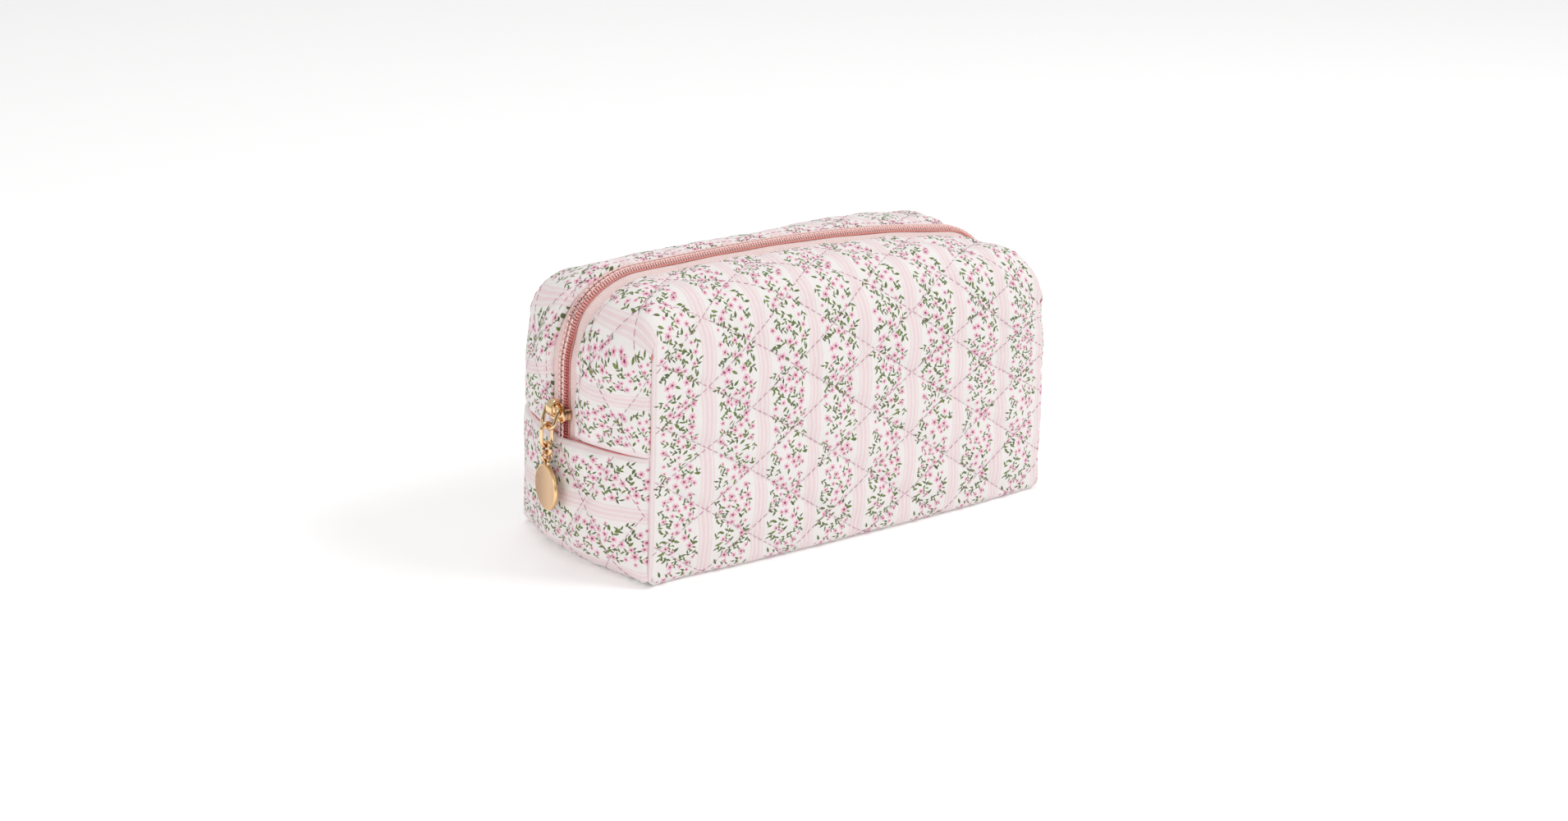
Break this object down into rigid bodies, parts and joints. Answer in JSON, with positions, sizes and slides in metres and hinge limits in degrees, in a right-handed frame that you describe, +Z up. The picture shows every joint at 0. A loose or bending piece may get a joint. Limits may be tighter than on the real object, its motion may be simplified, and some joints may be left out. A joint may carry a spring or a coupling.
{
  "type": "makeup bag",
  "caption": "Boxy quilted fabric makeup bag with a coil zip over its rounded top and a gold slider whose chained pull ends in a plain disc.",
  "frame": {"origin": "on the surface the bag stands on, below the middle of the bag's body", "axes": "+X along the zip's top run, away from the slider; -Y out of the front wall; +Z up"},
  "size_m": [0.2266, 0.0948, 0.1105],
  "materials": {
    "quilt": "quilted printed cotton",
    "lining": "smooth woven lining",
    "binding": "folded bias tape",
    "tape": "woven zip tape",
    "coil": "nylon coil",
    "gold": "polished gold plate"
  },
  "bodies": {
    "bag": {"quilted_body_panel": "quilt", "quilted_left_end_lower": "quilt", "quilted_right_end_lower": "quilt", "quilted_left_end_upper_front": "quilt", "quilted_left_end_upper_back": "quilt", "quilted_right_end_upper_front": "quilt", "quilted_right_end_upper_back": "quilt", "lining_body_panel": "lining", "lining_left_end": "lining", "lining_right_end": "lining", "left_end_seam_binding": "binding", "right_end_seam_binding": "binding", "left_front_corner_binding": "binding", "left_back_corner_binding": "binding", "right_front_corner_binding": "binding", "right_back_corner_binding": "binding", "left_end_zip_tape": "tape", "left_end_zip_coil": "coil", "right_end_zip_tape": "tape", "right_end_zip_coil": "coil"},
    "front_lip": {"quilted_front_lip": "quilt", "lining_front_lip": "lining", "front_zip_tape": "tape", "front_zip_coil": "coil"},
    "back_lip": {"quilted_back_lip": "quilt", "lining_back_lip": "lining", "back_zip_tape": "tape", "back_zip_coil": "coil"},
    "slider": {"zip_slider": "gold"},
    "bail": {"pull_bail": "gold"},
    "link": {"oval_link": "gold"},
    "ring": {"jump_ring": "gold"},
    "small_ring": {"small_ring": "gold"},
    "disc": {"pull_disc": "gold"}
  },
  "joints": [
    {"name": "mouth_front", "type": "hinge", "parent": "bag", "child": "front_lip", "pos_m": [0, -0.0475, 0.07], "axis": [1, 0, 0], "range_deg": [0, 40]},
    {"name": "mouth_back", "type": "hinge", "parent": "bag", "child": "back_lip", "pos_m": [0, 0.0475, 0.07], "axis": [-1, 0, 0], "range_deg": [0, 40]},
    {"name": "zip_slide", "type": "slide", "parent": "bag", "child": "slider", "axis": [0, 0, 1], "range_m": [-0.003, 0.016]},
    {"name": "bail_swing", "type": "hinge", "parent": "slider", "child": "bail", "pos_m": [-0.1117, 0, 0.062], "axis": [0, 1, 0], "range_deg": [0, 90]},
    {"name": "link_swing", "type": "hinge", "parent": "bail", "child": "link", "pos_m": [-0.11447, 0, 0.05396], "axis": [0, 1, 0], "range_deg": [0, 40]},
    {"name": "ring_swing", "type": "hinge", "parent": "link", "child": "ring", "pos_m": [-0.11447, 0, 0.04651], "axis": [1, 0, 0], "range_deg": [-35, 35]},
    {"name": "small_ring_swing", "type": "hinge", "parent": "ring", "child": "small_ring", "pos_m": [-0.11447, 0, 0.04306], "axis": [0, 1, 0], "range_deg": [0, 30]},
    {"name": "disc_swing", "type": "hinge", "parent": "small_ring", "child": "disc", "pos_m": [-0.11447, 0, 0.04051], "axis": [1, 0, 0], "range_deg": [-35, 35]}
  ]
}
